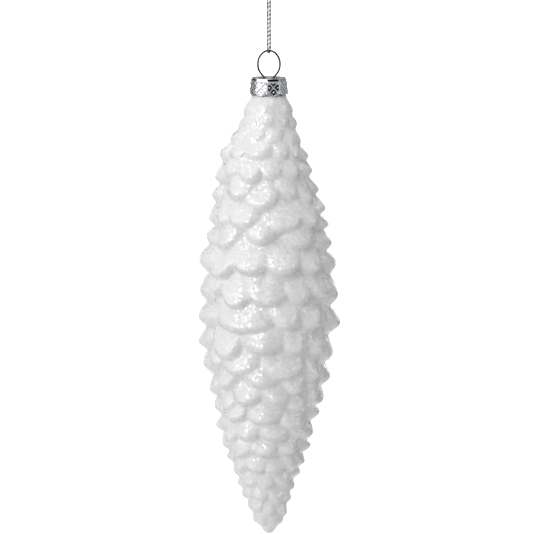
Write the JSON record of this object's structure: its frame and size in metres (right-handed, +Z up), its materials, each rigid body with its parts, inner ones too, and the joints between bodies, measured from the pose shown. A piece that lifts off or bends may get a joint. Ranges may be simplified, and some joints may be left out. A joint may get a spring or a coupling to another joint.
{
  "type": "icicle hanging ornament",
  "caption": "Long hollow glass ornament moulded as a slender pine cone, with a scalloped silver cap, a spring wire ring and a knotted metallic cord loop to hang it by.",
  "frame": {"origin": "inside top of the cord loop, where the hook or twig that it hangs from goes through", "axes": "+Z up along the ornament's length; the hanger wire's ring lies in the XZ plane; the front looks towards -Y"},
  "size_m": [0.0468, 0.0472, 0.1977],
  "materials": {
    "pearl_glass": "opaque pearl-white lacquered glass, glossy with a fine glitter",
    "silver_cap": "polished pressed tin",
    "spring_wire": "drawn spring wire",
    "metallic_cord": "twisted silver lurex"
  },
  "bodies": {
    "cord": {"hanging_cord": "metallic_cord", "cord_knot": "metallic_cord"},
    "wire": {"hanger_wire": "spring_wire"},
    "cap": {"cap": "silver_cap"},
    "glass": {"glass_body": "pearl_glass"}
  },
  "joints": [
    {"name": "ring_swing", "type": "hinge", "parent": "cord", "child": "wire", "pos_m": [0, 0, -0.03], "axis": [1, 0, 0], "range_deg": [-80, 80]},
    {"name": "cap_rock", "type": "hinge", "parent": "wire", "child": "cap", "pos_m": [0, 0, -0.0388], "axis": [1, 0, 0], "range_deg": [-6, 6]},
    {"name": "body_release", "type": "slide", "parent": "cap", "child": "glass", "axis": [0, 0, -1], "range_m": [0, 0.018]}
  ]
}
